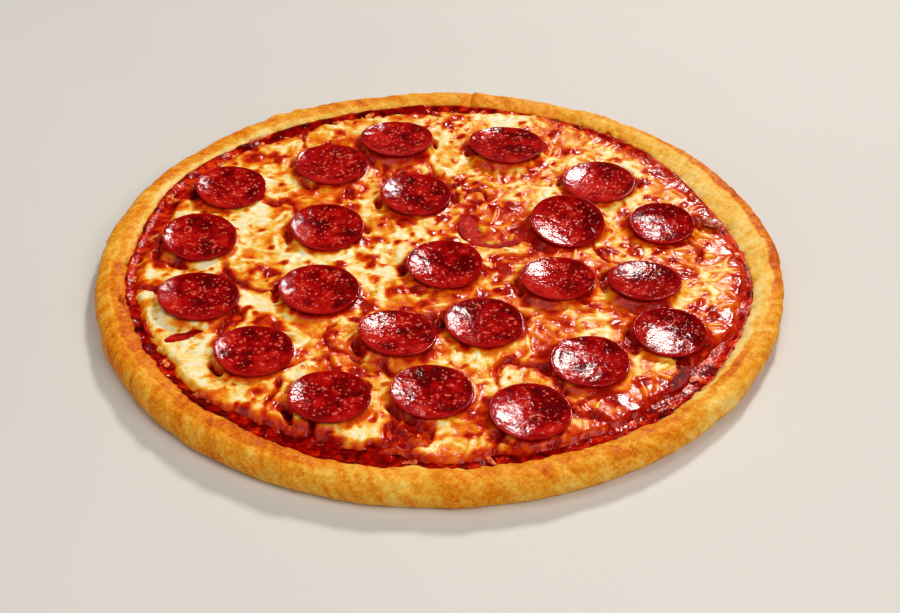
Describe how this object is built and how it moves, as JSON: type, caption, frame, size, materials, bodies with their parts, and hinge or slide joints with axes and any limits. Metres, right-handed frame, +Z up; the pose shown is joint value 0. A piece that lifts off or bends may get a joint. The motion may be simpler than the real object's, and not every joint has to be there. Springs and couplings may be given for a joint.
{
  "type": "pan pizza",
  "caption": "Whole round pan pizza: a thick dough base with a rolled rim, tomato sauce, melted browned cheese and cupped slices of pepperoni.",
  "frame": {"origin": "middle of the flat underside, on the surface the pizza rests on", "axes": "+Z up through the toppings, +Y from the front edge to the back edge, +X to the right"},
  "size_m": [0.33, 0.33, 0.0197],
  "materials": {
    "baked_dough": "baked dough, golden, matt with a trace of oil",
    "tomato_sauce": "wet tomato sauce, dark red and glossy",
    "melted_cheese": "melted cheese, cream with browned blisters, satin",
    "cured_meat": "cooked cured sausage, deep red, oily gloss"
  },
  "bodies": {
    "root": {"crust": "baked_dough", "sauce": "tomato_sauce", "cheese": "melted_cheese", "pepperoni_1": "cured_meat", "pepperoni_2": "cured_meat", "pepperoni_3": "cured_meat", "pepperoni_4": "cured_meat", "pepperoni_5": "cured_meat", "pepperoni_6": "cured_meat", "pepperoni_7": "cured_meat", "pepperoni_8": "cured_meat", "pepperoni_9": "cured_meat", "pepperoni_10": "cured_meat", "pepperoni_11": "cured_meat", "pepperoni_12": "cured_meat", "pepperoni_13": "cured_meat", "pepperoni_14": "cured_meat", "pepperoni_15": "cured_meat", "pepperoni_16": "cured_meat", "pepperoni_17": "cured_meat", "pepperoni_18": "cured_meat", "pepperoni_19": "cured_meat", "pepperoni_20": "cured_meat", "pepperoni_21": "cured_meat", "pepperoni_22": "cured_meat", "pepperoni_23": "cured_meat", "sunk_pepperoni_1": "cured_meat", "sunk_pepperoni_2": "cured_meat", "sunk_pepperoni_3": "cured_meat", "meat_bit": "cured_meat"}
  },
  "joints": []
}
